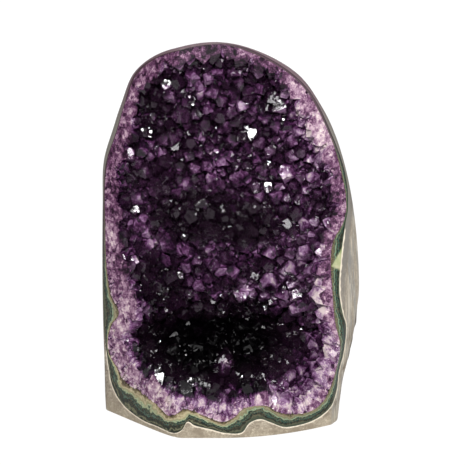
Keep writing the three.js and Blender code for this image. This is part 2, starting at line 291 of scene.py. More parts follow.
def rock_skin_rows():
    """The skin falls away behind the ground face: slowly at the sides, and at once on top."""
    edge = face_ring(around, stone_radius(around), edge_rounding(around))
    power = by_height(around, SKIN_POWER)
    turns = np.linspace(0, math.pi / 2, STEPS_ROUND)
    depth, half_width = USUAL_PROFILE
    profile = np.stack([depth * np.sin(turns) ** (2 / 3), half_width * np.cos(turns)], axis=1)
    rows = []
    for share in even_steps(profile, SKIN_ROWS)[1:-1]:
        turn = share * math.pi / 2
        way, narrow = np.sin(turn) ** (2 / power), math.cos(turn)
        y = edge[:, 1] + (STONE_BACK - edge[:, 1]) * way
        row = ring(around, stone_radius(around) * narrow, y)
        out = np.stack([np.cos(around) * narrow, way * way, np.sin(around) * narrow], axis=1)
        out /= np.linalg.norm(out, axis=1, keepdims=True)
        lump = SKIN_SWELL * (skin_swell(row) - 1) * smoothstep(way, 0.1, 0.5)
        rows.append(row + out * (lump + fine_relief(row, way))[:, None])
    rows.append(np.array([[0, rows[-1][:, 1].mean(), OUTLINE_MIDDLE_Z]]))
    return rows


def fine_relief(row, way):
    """Clods and pits of the weathered skin, and knobs of it that stand out low on the right."""
    relief = np.empty(len(row))
    for i, place in enumerate(row):
        spot = Vector(place)
        clods = noise.fractal(spot / CLOD_SIZE, 1.0, 2.1, 4)
        pits = max(0, PIT_REACH - noise.voronoi(spot / PIT_SPACING)[0][0])
        relief[i] = CLOD_HEIGHT * clods - PIT_DEPTH * pits - SKIN_SINK
    z = row[:, 2]
    knobs = smoothstep(z, KNOB_BOTTOM, KNOB_BOTTOM + 5)
    knobs *= 1 - smoothstep(z, KNOB_TOP - 5, KNOB_TOP)
    knobs *= smoothstep(way, 0.0, 0.05) * (1 - smoothstep(way, 0.25, 0.5)) * (row[:, 0] > 0)
    knobs *= 0.6 + 0.4 * np.sin(z / KNOB_SIZE + 1.3 * np.sin(z / 3.7))
    return relief * smoothstep(way, 0.0, 0.16) + KNOB_HEIGHT * knobs


def rock_rows():
    """The pocket for the lining, the ground rim, its rounded edge and the rough skin."""
    inner, outer = agate_radius(around), stone_radius(around)
    rounding = edge_rounding(around)
    rows = cup_rows(around, inner, AGATE_BACK, POCKET_ROWS)
    for share in np.linspace(0, 1, RIM_ROWS)[1:]:
        rows.append(face_ring(around, inner + (outer - rounding - inner) * share))
    for turn in np.linspace(0, math.pi / 2, ROUNDING_ROWS)[1:]:
        radius = outer - rounding * (1 - math.sin(turn))
        rows.append(face_ring(around, radius, rounding * (1 - math.cos(turn))))
    return rows + rock_skin_rows()


def saw_flat(mesh):
    """Cuts the mesh at the height of the base, and closes the cut."""
    sawn = bmesh.new()
    sawn.from_mesh(mesh)
    bmesh.ops.bisect_plane(
        sawn, geom=sawn.verts[:] + sawn.edges[:] + sawn.faces[:],
        plane_co=(0, 0, 0), plane_no=(0, 0, 1), clear_inner=True,
    )
    cut = [edge for edge in sawn.edges if edge.is_boundary]
    bmesh.ops.holes_fill(sawn, edges=cut)
    bmesh.ops.recalc_face_normals(sawn, faces=sawn.faces)
    sawn.to_mesh(mesh)
    sawn.free()


class Shade:
    """A socket of a material's nodes. Sums and products of sockets add Math nodes."""

    def __init__(self, tree, socket=None):
        self.tree = tree
        self.socket = socket

    def add(self, kind, settings=None, inputs=None, output=0):
        """A new node, by its type, its settings, and the values or links of its inputs."""
        node = self.tree.nodes.new(kind)
        for name, value in (settings or {}).items():
            if name == "stops":
                self.set_stops(node.color_ramp, value)
            else:
                setattr(node, name, value)
        for name, value in (inputs or {}).items():
            if isinstance(value, Shade):
                self.tree.links.new(value.socket, node.inputs[name])
            else:
                node.inputs[name].default_value = value
        return Shade(self.tree, node.outputs[output])

    @staticmethod
    def set_stops(ramp, stops):
        while len(ramp.elements) < len(stops):
            ramp.elements.new(0.5)
        for element, (position, code) in zip(ramp.elements, stops):
            element.position = position
            element.color = colour(code)

    def maths(self, operation, first, second):
        return self.add("ShaderNodeMath", {"operation": operation}, {0: first, 1: second})

    def __add__(self, other):
        return self.maths("ADD", self, other)

    __radd__ = __add__

    def __sub__(self, other):
        return self.maths("SUBTRACT", self, other)

    def __rsub__(self, other):
        return self.maths("SUBTRACT", other, self)

    def __mul__(self, other):
        return self.maths("MULTIPLY", self, other)

    __rmul__ = __mul__

    def between(self, low, high):
        """0 below low, 1 above high, and smooth in between."""
        inputs = {"Value": self, "From Min": low, "From Max": high}
        return self.add("ShaderNodeMapRange", {"interpolation_type": "SMOOTHSTEP"}, inputs)

    def mix(self, none, full):
        """The colour none where this is 0, and the colour full where it is 1."""
        none, full = (colour(c) if isinstance(c, str) else c for c in (none, full))
        return self.add("ShaderNodeMix", {"data_type": "RGBA"}, {0: self, 6: none, 7: full}, 2)

    def noise(self, at, scale, detail=2.0, roughness=0.5):
        sizes = {"Vector": at, "Scale": scale, "Detail": detail, "Roughness": roughness}
        return self.add("ShaderNodeTexNoise", None, sizes)

    def cells(self, at, scale):
        """Cells with a random value each."""
        return self.add("ShaderNodeTexVoronoi", None, {"Vector": at, "Scale": scale}, "Color")

    def vector(self, operation, inputs):
        return self.add("ShaderNodeVectorMath", {"operation": operation}, inputs)

    def tilted(self, at, scale, strength):
        """Normals that lean a random way in each cell, like the small faces of broken crystal."""
        lean = self.vector("SUBTRACT", {0: self.cells(at, scale), 1: (0.5, 0.5, 0.5)})
        lean = self.vector("SCALE", {0: lean, "Scale": strength})
        straight = self.add("ShaderNodeNewGeometry", None, None, "Normal")
        return self.vector("NORMALIZE", {0: self.vector("ADD", {0: straight, 1: lean})})

    def ramp(self, value, stops):
        return self.add("ShaderNodeValToRGB", {"stops": stops}, {"Fac": value})

    def principled(self, inputs):
        return self.add("ShaderNodeBsdfPrincipled", None, inputs)

    def mix_shaders(self, share, none, full):
        """The shader none where the share is 0, and the shader full where it is 1."""
        return self.add("ShaderNodeMixShader", None, {0: share, 1: none, 2: full})

    def stretched(self, at, scale):
        """A place with its three directions scaled apart, for a pattern that is drawn out."""
        return self.add("ShaderNodeMapping", None, {"Vector": at, "Scale": scale})

    def value(self, name):
        """A value that the mesh holds at each point or face."""
        return self.add("ShaderNodeAttribute", {"attribute_name": name}, None, "Fac")

    def place(self):
        return self.add("ShaderNodeTexCoord", None, None, "Object")

    def bump(self, height, depth, normal=None):
        inputs = {"Height": height, "Distance": depth}
        if normal is not None:
            inputs["Normal"] = normal
        return self.add("ShaderNodeBump", None, inputs)


def colour(code):
    """Linear red, green, blue and alpha of a colour that is written as on a screen."""
    parts = [int(code[i:i + 2], 16) / 255 for i in (0, 2, 4)]
    return [p / 12.92 if p <= 0.04045 else ((p + 0.055) / 1.055) ** 2.4 for p in parts] + [1.0]


def new_material(name, viewport_code):
    material = bpy.data.materials.new(name)
    material.use_nodes = True
    material.diffuse_color = colour(viewport_code)
    material.node_tree.nodes.clear()
    return material, Shade(material.node_tree)


def finish_material(shade, surface, volume=None):
    sockets = {"Surface": surface}
    if volume is not None:
        sockets["Volume"] = volume
    node = shade.tree.nodes.new("ShaderNodeOutputMaterial")
    for name, value in sockets.items():
        shade.tree.links.new(value.socket, node.inputs[name])


def basalt_material():
    material, shade = new_material("basalt", "9a8c78")
    at = shade.place()
    ground = shade.value("ground")
    facet = shade.value("side_facet")
    height = shade.value("height")

    # Ground rock: mottled, with dark grains and pale spots
    mottle = shade.noise(at, 110, 6, 0.68).between(0.36, 0.64)
    grain = shade.noise(at, 800, 4, 0.75).between(0.42, 0.6)
    spots = shade.noise(at, 560, 4, 0.7).between(0.54, 0.68)
    polished = mottle.mix("6b5f51", "b0a594")
    polished = (grain * 0.6).mix(polished, "5a4e41")
    polished = (spots * 0.7).mix(polished, "d8ccb6")

    # The narrow facet: paler, with grey streaks and pale scratches along it
    streaks = shade.noise(shade.stretched(at, (430, 430, 30)), 1.0, 4, 0.66).between(0.46, 0.6)
    scratches = shade.noise(shade.stretched(at, (900, 900, 40)), 1.0, 3, 0.7).between(0.5, 0.62)
    polished = (facet * 0.6).mix(polished, "b3a795")
    polished = (streaks * facet * 0.6).mix(polished, "82878b")
    polished = (scratches * facet * 0.7).mix(polished, "dcd3c2")

    # Greyer above the base, purplish at the top, pale at the sawn edge, and stained low down
    polished = (height.between(0.1, 0.5) * (1.0 - facet)).mix(polished, "78736c")
    polished = height.between(0.75, 0.9).mix(polished, "6a565c")
    polished = (0.4 - height.between(0.0, 0.09) * 0.4).mix(polished, "b3a58d")
    stains = shade.noise(at, 75, 5, 0.72).between(0.48, 0.62)
    stains = stains * facet * (1.0 - height.between(0.1, 0.36))
    polished = (stains * 0.9).mix(polished, "6a5944")

    # A cream line runs along the lining
    edge = shade.value("to_lining") + (shade.noise(at, 330, 3, 0.6) - 0.5) * 1.6
    polished = (1.0 - edge.between(0.4, 1.0)).mix(polished, "e4d8c4")

    # The skin that was never ground
    weathered = mottle.mix("6a6152", "9c8f77")
    weathered = shade.noise(at, 210, 4, 0.6).between(0.52, 0.7).mix(weathered, "555a4a")
    weathered = (grain * 0.45).mix(weathered, "474035")
    relief = shade.noise(at, 420, 6, 0.65) + 0.5 * grain
    surface = shade.principled({
        "Base Color": ground.mix(weathered, polished),
        "Roughness": 0.85 - 0.4 * ground,
        "Normal": shade.bump(relief * (1.15 - ground), 0.0014),
    })
    finish_material(shade, surface)
    return material


rock_mesh = skin_mesh("rock_shell_dressed", rock_rows())
saw_flat(rock_mesh)
rock_places = stone_places(rock_mesh)
behind_face = rock_places[:, 1] - face_y(rock_places[:, 0], rock_places[:, 2])
rock_angle, from_middle = polar(rock_places)
outside = from_middle > stone_radius(rock_angle) + 0.05
ground_share = 1 - smoothstep(behind_face + 3 * outside, EDGE_ROUNDING + 0.2, EDGE_ROUNDING + 1.2)
ground_share = np.maximum(ground_share, rock_places[:, 2] < 0.01)
add_values(rock_mesh, "ground", ground_share)
# The cream line ends 30 mm up on the left and 100 mm up on the right
cream_top = np.where(rock_places[:, 0] < 0, 30, 100)
past_cream = 3 * smoothstep(rock_places[:, 2], cream_top, cream_top + 15) + 5 * outside
add_values(rock_mesh, "to_lining", from_middle - agate_radius(rock_angle) + past_cream)
add_values(rock_mesh, "height", rock_places[:, 2] / STONE_HEIGHT)
past_arris = rock_places[:, 0] - arris_x(rock_places[:, 2])
add_values(rock_mesh, "side_facet", smoothstep(past_arris, -1, 1))
round_off(rock_mesh)
add_piece("basalt_rock", rock_mesh, basalt_material(), "rock_shell")

# The lining: agate, laid down in thin bands on the wall of the bubble in the lava before the
# crystals grew. It is hard and takes a gloss where it is ground: dark green, olive and cream.
CRYSTAL_OUTLINE = [
    (-9, 199), (-32, 194), (-49.2, 181.4), (-57, 163.3), (-64.9, 140.3), (-67.2, 125),
    (-67.2, 105), (-66.4, 80), (-64, 66), (-59.6, 58), (-63.8, 50), (-66.3, 41), (-65.7, 33.4),
    (-60.5, 26.5), (-57.5, 21), (-48.5, 18.6), (-38, 14.3), (-32, 11), (-24.4, 15.8),
    (-18, 14.4), (-10.7, 11.2), (-4.2, 9), (2.5, 12), (7, 16.2), (18.6, 17), (24.6, 12.9),
    (32, 10.3), (41, 10), (47.2, 12.5), (51.3, 17.6), (56.1, 30.7), (58.3, 42), (55.1, 57.5),
    (53.2, 77.7), (52.6, 88.3), (53.7, 98.5), (60, 109), (61, 118), (57.5, 136.1),
    (52.7, 150.5), (38.8, 175.7), (20.4, 189.8),
]
THINNEST_AGATE = 0.35
CRUST_BACK = 23
CONTACT_GAP = 0.04
LINING_ROWS = 16
BAND_ROWS = 25
# How dark the lining is by angle in degrees: dark green on the right and at the top
DARKNESS = [
    (-180, 0.6), (-150, 0.5), (-140, 0.0), (-100, 0.1), (-85, 0.5), (-50, 0.8), (-20, 1.0),
    (60, 0.9), (130, 0.5),
]
PATCH_TIP = (53.0, 86.3)
PATCH_SLOPES = (-0.55, 1.5)
crystal_curve = radius_by_angle(CRYSTAL_OUTLINE)


def crystal_radius(angle):
    return np.minimum(crystal_curve(angle), agate_radius(angle) - THINNEST_AGATE)


def agate_rows():
    inner, outer = crystal_radius(around), agate_radius(around) - CONTACT_GAP
    rows = cup_rows(around, outer, AGATE_BACK - CONTACT_GAP, LINING_ROWS)
    for share in np.linspace(1, 0, BAND_ROWS)[1:]:
        rows.append(face_ring(around, inner + (outer - inner) * share))
    return rows + cup_rows(around, inner, CRUST_BACK, LINING_ROWS)[::-1][1:]


def agate_material():
    """Bands from the crystals, at 0, out to the rock, at 1: olive low on the left, else dark."""
    material, shade = new_material("agate", "4c5e4e")
    at = shade.place()
    waves, ripples = shade.noise(at, 120, 3, 0.6), shade.noise(at, 520, 4, 0.65)
    band = shade.value("band") + ((waves - 0.5) * 0.9 + (ripples - 0.5) * 0.4)
    grains = shade.noise(at, 1500, 2, 0.6).between(0.42, 0.6)
    clouds = shade.noise(at, 160, 4, 0.6).between(0.45, 0.75)
    olive = shade.ramp(band, [
        (0.0, "2f261d"), (0.08, "77694a"), (0.17, "c4b896"), (0.26, "8c8763"), (0.34, "a8b592"),
        (0.4, "25443b"), (0.5, "050d0c"), (0.56, "46655a"), (0.6, "0a1513"), (0.78, "18221e"),
        (0.85, "75755c"), (0.92, "22261f"),
    ])
    dark = shade.ramp(band, [
        (0.0, "3c352b"), (0.12, "4b4f3c"), (0.26, "2b3a30"), (0.36, "7c9a80"), (0.41, "1b463c"),
        (0.5, "050d0c"), (0.62, "2a564c"), (0.68, "081210"), (0.85, "14211d"), (0.93, "4c5646"),
    ])
    bands = shade.value("darkness").mix(olive, dark)
    bands = (grains * (1.0 - shade.value("band")) * 0.6).mix(bands, "8a7a5c")
    bands = shade.value("fade").mix(bands, "48303f")
    bands = shade.value("patch").mix(bands, clouds.mix("8f9c6c", "c8c3a0"))
    surface = shade.principled({
        "Base Color": (clouds * 0.2).mix(bands, "34352a"),
        "Roughness": 0.25,
        "Specular IOR Level": 0.3,
        "IOR": 1.54,
        "Normal": shade.bump(shade.noise(at, 700, 3, 0.6), 0.00008),
    })
    finish_material(shade, surface)
    return material


agate_mesh = skin_mesh("agate_lining_dressed", agate_rows())
agate_places = stone_places(agate_mesh)
agate_angle, agate_from_middle = polar(agate_places)
band_start, band_end = crystal_radius(agate_angle), agate_radius(agate_angle)
band_share = np.clip((agate_from_middle - band_start) / (band_end - band_start), 0, 1)
add_values(agate_mesh, "band", band_share)
# Towards the top the bands fade to a purple brown, sooner on the left
fade = 0.8 * smoothstep(agate_places[:, 2] - 0.4 * agate_places[:, 0], 90, 150)
add_values(agate_mesh, "fade", fade)
add_values(agate_mesh, "darkness", np.interp(np.degrees(agate_angle), *np.transpose(DARKNESS)))
# A pale three-cornered patch on the right, where younger quartz crosses the bands
from_tip = agate_places[:, 0] - PATCH_TIP[0]
above_tip = agate_places[:, 2] - PATCH_TIP[1]
patch = smoothstep(above_tip - PATCH_SLOPES[0] * from_tip, -0.5, 0.5)
patch *= smoothstep(PATCH_SLOPES[1] * from_tip - above_tip, -0.5, 0.5)
add_values(agate_mesh, "patch", patch)
round_off(agate_mesh)
add_piece("agate_bands", agate_mesh, agate_material(), "agate_lining")

# The crust: amethyst, violet quartz. Hundreds of six-sided points grew side by side from the
# agate into the hollow, milky at the root and deep violet at the tip, and are one solid
# mass below their tips. Where the face cuts through them they are ground to a sugary rim.
CRUST_WIDTH = [
    (-180, 6), (-160, 12), (-140, 13), (-125, 12), (-110, 9), (-90, 6), (-70, 5), (-50, 6),
    (-30, 5), (0, 3), (30, 4), (50, 5), (70, 4), (90, 2.5), (120, 3), (150, 4), (180, 6),
]
# Exponents as above, at the top and at the bottom
HOLLOW_POWER = (2.2, 4.5)
# Where the back of the hollow is by height: far back in the low pocket, and forward above it
HOLLOW_BACK = [
    (0, -16), (22, -10), (30, 3), (38, 10), (46, 9), (56, -2), (68, -11), (78, -12),
    (100, -8), (130, -1), (160, 5), (180, 10), (200, 15),
]
HOLLOW_SWELL = 1.5
LIP_UNDERCUT = 0.05
# A place in front of the opening, which the crystals lean towards
HOLLOW_EYE = (-2, -72, 94)
RIM_RECESS = (1.5, 2.7)
LIP_WAY = 0.1
LIP_ROWS = 8
BED_OVERLAP = 1
BED_ROWS = 36
BED_BACK_ROWS = 12
LIMIT_BACK_ROWS = 30
LIMIT_FACE_ROWS = 40
GROWTH_ROWS = 60
RIM_INSET = 0.6
# How milky the rim is by angle in degrees, how far in from the lining the milk reaches, and
# how far behind the face it starts to clear and ends
MILK = [
    (-180, 0.65), (-165, 0.7), (-150, 0.9), (-120, 0.95), (-100, 0.9), (-75, 0.8), (-55, 0.75),
    (-40, 0.85), (-15, 0.75), (10, 0.65), (30, 0.55), (43, 0.6), (48, 0.9), (68, 0.85),
    (74, 0.45), (85, 0.25), (100, 0.25), (112, 0.45), (125, 0.6), (150, 0.6), (180, 0.65),
]
MILK_WIDTH = [
    (-180, 12), (-160, 18), (-145, 25), (-125, 23), (-110, 17), (-90, 13), (-65, 14), (-45, 17),
    (-20, 13), (0, 10), (30, 9), (45, 13), (55, 20), (66, 19), (74, 9), (90, 5), (110, 8),
    (130, 12), (150, 12), (180, 12),
]
MILK_DEPTH = (9, 22)
CUT_DEPTH = 0.12
# Painted shade on the crystals, darkest in the deep low pocket under the swell of the wall:
# middle, reach and how dark
PAINTED_SHADE_ZONES = [
    ((-8, 38), (46, 17), 1.0), ((-2, 52), (34, 12), 0.5), ((-20, 108), (24, 14), 0.45),
    ((6, 104), (18, 12), 0.5), ((-42, 160), (12, 14), 0.3), ((-38, 72), (14, 18), 0.4),
]
# Where the painted shade is taken off, and past none the crystals are painted paler: single bright
# crystals, and two paler stretches on the right, which are painted light: middle, reach and how
# bright
BRIGHT = [
    ((-2.8, 28), 5, 1.5), ((9.2, 71), 6, 0.2), ((39, 108), 6, 0.25), ((40, 46), 24, 0.11),
    ((43, 86), 26, 0.16),
]
QUARTZ_SLOPE = math.radians(51.8)
CRYSTAL_ROOT = 1.6
CRYSTAL_KINDS = 24
# Three sizes on the wall and one on the rim: the least distance, and the range of the radius
CRYSTAL_SIZES = {
    "Large": (14.0, 3.4, 5.0), "Medium": (6.6, 2.5, 4.3), "Small": (2.4, 0.9, 2.2),
    "Rim": (1.9, 0.8, 1.9),
}
SIZE_INPUTS = ("Spacing", "Least", "Most")
GROWTH_SEED = 5
CRYSTAL_TILT = 0.45
PULL_TO_EYE = 0.5
MOST_PER_SQUARE_METRE = 4e6
FULL_TURN = 6.28
bed_around = around[::2]


def hollow_radius(angle):
    return crystal_radius(angle) - np.interp(np.degrees(angle), *np.transpose(CRUST_WIDTH))


def wall_row(way):
    """One row of the hollow's wall: 0 is at the ground face, 1 at the middle of the back."""
    angle = np.arctan2(np.sin(bed_around), np.cos(bed_around))
    edge = hollow_radius(angle)
    edge_y = face_ring(angle, edge)[:, 1]
    down = np.maximum(0, -np.sin(angle))
    undercut = 1 + LIP_UNDERCUT * down * np.sin(math.pi * min(1, 1.6 * way))
    power = HOLLOW_POWER[0] + (HOLLOW_POWER[1] - HOLLOW_POWER[0]) * down
    row = ring(angle, edge * undercut * np.sqrt(1 - way ** power), 0)
    x, z = row[:, 0], row[:, 2]
    swell = np.sin(x / 8.5 + 1.3 * np.sin(z / 15)) + np.sin(z / 9.5 + 1.1 * np.sin(x / 13) + 0.7)
    back = np.interp(z, *np.transpose(HOLLOW_BACK)) + HOLLOW_SWELL * swell
    row[:, 1] = edge_y + (back - edge_y) * way
    return row


def wall_rows(first_way, count):
    ways = first_way + (1 - first_way) * np.sin(np.linspace(0, math.pi / 2, count))[:-1]
    rows = [wall_row(way) for way in ways]
    return rows + [rows[-1].mean(axis=0, keepdims=True)]


def lip_rows(outer, count):
    """The rim, which slopes in from the ground face to the start of the hollow's wall."""
    start = face_ring(bed_around, outer, by_height(bed_around, RIM_RECESS))
    end = wall_row(LIP_WAY)
    return [start + (end - start) * share for share in np.linspace(0, 1, count)[:-1]]


def crust_bed_rows():
    """The solid mass under the points, a little larger than the limit that it is cut to."""
    outer = crystal_radius(bed_around) + BED_OVERLAP
    back = cup_rows(bed_around, outer, CRUST_BACK + BED_OVERLAP, BED_BACK_ROWS)[:-1]
    return back + lip_rows(outer, LIP_ROWS) + wall_rows(LIP_WAY, BED_ROWS)


def ground_limit_rows():
    """What the face and the lining leave for the crystals."""
    outer = crystal_radius(around) - CONTACT_GAP
    rows = cup_rows(around, outer, CRUST_BACK - CONTACT_GAP, LIMIT_BACK_ROWS)
    for share in np.linspace(1, 0, LIMIT_FACE_ROWS)[1:-1]:
        rows.append(face_ring(around, outer * share))
    return rows + [face_ring(np.zeros(1), 0)]


def crystal_mesh(name, draw):
    """A quartz point of radius 1: the space inside six prism planes and six sloping ones.

    Three of the tip's faces are larger than the three between them."""
    planes = [((0, 0, -1), CRYSTAL_ROOT)]
    height = draw.uniform(1.0, 1.7)
    for k in range(6):
        turn = math.radians(60 * k)
        side = (math.cos(turn), math.sin(turn))
        planes.append(((*side, 0), draw.uniform(0.82, 1.08)))
        lean = math.sin(QUARTZ_SLOPE)
        tip = (side[0] * lean, side[1] * lean, math.cos(QUARTZ_SLOPE))
        smaller = draw.uniform(0.12, 0.5) if k % 2 else draw.uniform(0, 0.1)
        planes.append((tip, height * math.cos(QUARTZ_SLOPE) + 0.25 + smaller))
    normals = np.array([normal for normal, _ in planes])
    offsets = np.array([offset for _, offset in planes])
    corners = []
    for i in range(len(planes)):
        for j in range(i):
            for k in range(j):
                three = [i, j, k]
                if abs(np.linalg.det(normals[three])) > 1e-6:
                    corner = np.linalg.solve(normals[three], offsets[three])
                    if (normals @ corner <= offsets + 1e-7).all():
                        corners.append(corner)
    shape = bmesh.new()
    for corner in corners:
        shape.verts.new(corner)
    bmesh.ops.remove_doubles(shape, verts=shape.verts, dist=1e-4)
    bmesh.ops.convex_hull(shape, input=shape.verts)
    bmesh.ops.dissolve_limit(shape, angle_limit=0.01, verts=shape.verts, edges=shape.edges)
    bmesh.ops.recalc_face_normals(shape, faces=shape.faces)
    mesh = bpy.data.meshes.new(name)
    shape.to_mesh(mesh)
    shape.free()
    add_values(mesh, "tint", np.full(len(mesh.polygons), draw.uniform(0, 1)), "FACE")
    add_values(mesh, "facet", draw.uniform(0, 1, len(mesh.polygons)), "FACE")
    add_values(mesh, "up", [v.co.z for v in mesh.vertices])
    return mesh


kinds = bpy.data.collections.new("crystal_kinds")
draw_shape = np.random.default_rng(8)
for number in range(CRYSTAL_KINDS):
    kind_name = f"crystal_kind_{number:02d}"
    kinds.objects.link(bpy.data.objects.new(kind_name, crystal_mesh(kind_name, draw_shape)))


def druse_tree():
    """Grows crystals on the wall and the rim, joins them with their bed and cuts off what
    stands past the limit."""
    tree = bpy.data.node_groups.new("druse", "GeometryNodeTree")
    tree.interface.new_socket("Geometry", in_out="OUTPUT", socket_type="NodeSocketGeometry")
    tree.interface.new_socket("Geometry", in_out="INPUT", socket_type="NodeSocketGeometry")
    sockets = [
        ("Bed", "Object"), ("Rim", "Object"), ("Limit", "Object"), ("Kinds", "Collection"),
        ("Material", "Material"), ("Seed", "Int"), ("Tilt", "Float"), ("Eye", "Vector"),
    ]
    sockets += [(f"{size} {name}", "Float") for size in CRYSTAL_SIZES for name in SIZE_INPUTS]
    for name, kind in sockets:
        tree.interface.new_socket(name, in_out="INPUT", socket_type="NodeSocket" + kind)
    inputs = tree.nodes.new("NodeGroupInput").outputs

    def add(kind, settings, values, output=0):
        node = tree.nodes.new(kind)
        for name, value in settings.items():
            setattr(node, name, value)
        for name, value in values.items():
            if isinstance(value, bpy.types.NodeSocket):
                tree.links.new(value, node.inputs[name])
            else:
                node.inputs[name].default_value = value
        return node.outputs[output]

    def vector(operation, values):
        return add("ShaderNodeVectorMath", {"operation": operation}, values)

    def random(low, high, seed, kind="FLOAT"):
        first, last, output = {"FLOAT": (2, 3, 1), "FLOAT_VECTOR": (0, 1, 0)}[kind]
        values = {first: low, last: high, "Seed": seed}
        return add("FunctionNodeRandomValue", {"data_type": kind}, values, output)

    def shape_of(name):
        return add("GeometryNodeObjectInfo", {}, {"Object": inputs[name]}, "Geometry")

    kinds_apart = {"Collection": inputs["Kinds"], "Separate Children": True}
    kinds_apart = add("GeometryNodeCollectionInfo", {}, kinds_apart)
    rim, bed, limit = shape_of("Rim"), shape_of("Bed"), shape_of("Limit")
    grown = []
    for number, size in enumerate(CRYSTAL_SIZES):
        wall = rim if size == "Rim" else inputs["Geometry"]
        seed = add("ShaderNodeMath", {"operation": "ADD"}, {0: inputs["Seed"], 1: 10 * number})
        scatter = tree.nodes.new("GeometryNodeDistributePointsOnFaces")
        scatter.distribute_method = "POISSON"
        scatter.inputs["Density Max"].default_value = MOST_PER_SQUARE_METRE
        tree.links.new(wall, scatter.inputs["Mesh"])
        tree.links.new(inputs[f"{size} Spacing"], scatter.inputs["Distance Min"])
        tree.links.new(seed, scatter.inputs["Seed"])
        place = add("GeometryNodeInputPosition", {}, {})
        to_eye = vector("NORMALIZE", {0: vector("SUBTRACT", {0: inputs["Eye"], 1: place})})
        to_eye = vector("SCALE", {0: to_eye, "Scale": PULL_TO_EYE})
        askew = random((-1, -1, -1), (1, 1, 1), number + 1, "FLOAT_VECTOR")
        askew = vector("SCALE", {0: askew, "Scale": inputs["Tilt"]})
        axis = vector("ADD", {0: scatter.outputs["Normal"], 1: to_eye})
        axis = vector("ADD", {0: axis, 1: askew})
        stand = add("FunctionNodeAlignRotationToVector", {"axis": "Z"}, {"Vector": axis})
        spin = add("ShaderNodeCombineXYZ", {}, {"Z": random(0.0, FULL_TURN, number + 5)})
        spin = add("FunctionNodeEulerToRotation", {}, {"Euler": spin})
        turn = add("FunctionNodeRotateRotation", {"rotation_space": "LOCAL"}, {0: stand, 1: spin})
        radius = random(inputs[f"{size} Least"], inputs[f"{size} Most"], number + 9)
        grown.append(add("GeometryNodeInstanceOnPoints", {}, {
            "Points": scatter.outputs["Points"], "Instance": kinds_apart, "Pick Instance": True,
            "Rotation": turn, "Scale": radius,
        }))
    crystals = tree.nodes.new("GeometryNodeJoinGeometry")
    for part in reversed(grown):
        tree.links.new(part, crystals.inputs[0])
    joined = tree.nodes.new("GeometryNodeMeshBoolean")
    joined.operation, joined.solver = "UNION", "MANIFOLD"
    tree.links.new(bed, joined.inputs["Mesh 2"])
    tree.links.new(crystals.outputs[0], joined.inputs["Mesh 2"])
    ground = tree.nodes.new("GeometryNodeMeshBoolean")
    ground.operation, ground.solver = "INTERSECT", "MANIFOLD"
    tree.links.new(limit, ground.inputs["Mesh 2"])
    tree.links.new(joined.outputs[0], ground.inputs["Mesh 2"])
    whole = add("GeometryNodeRealizeInstances", {}, {"Geometry": ground.outputs[0]})
    crust = add("GeometryNodeSetMaterial", {}, {"Geometry": whole, "Material": inputs["Material"]})
    tree.links.new(crust, tree.nodes.new("NodeGroupOutput").inputs[0])
    return tree


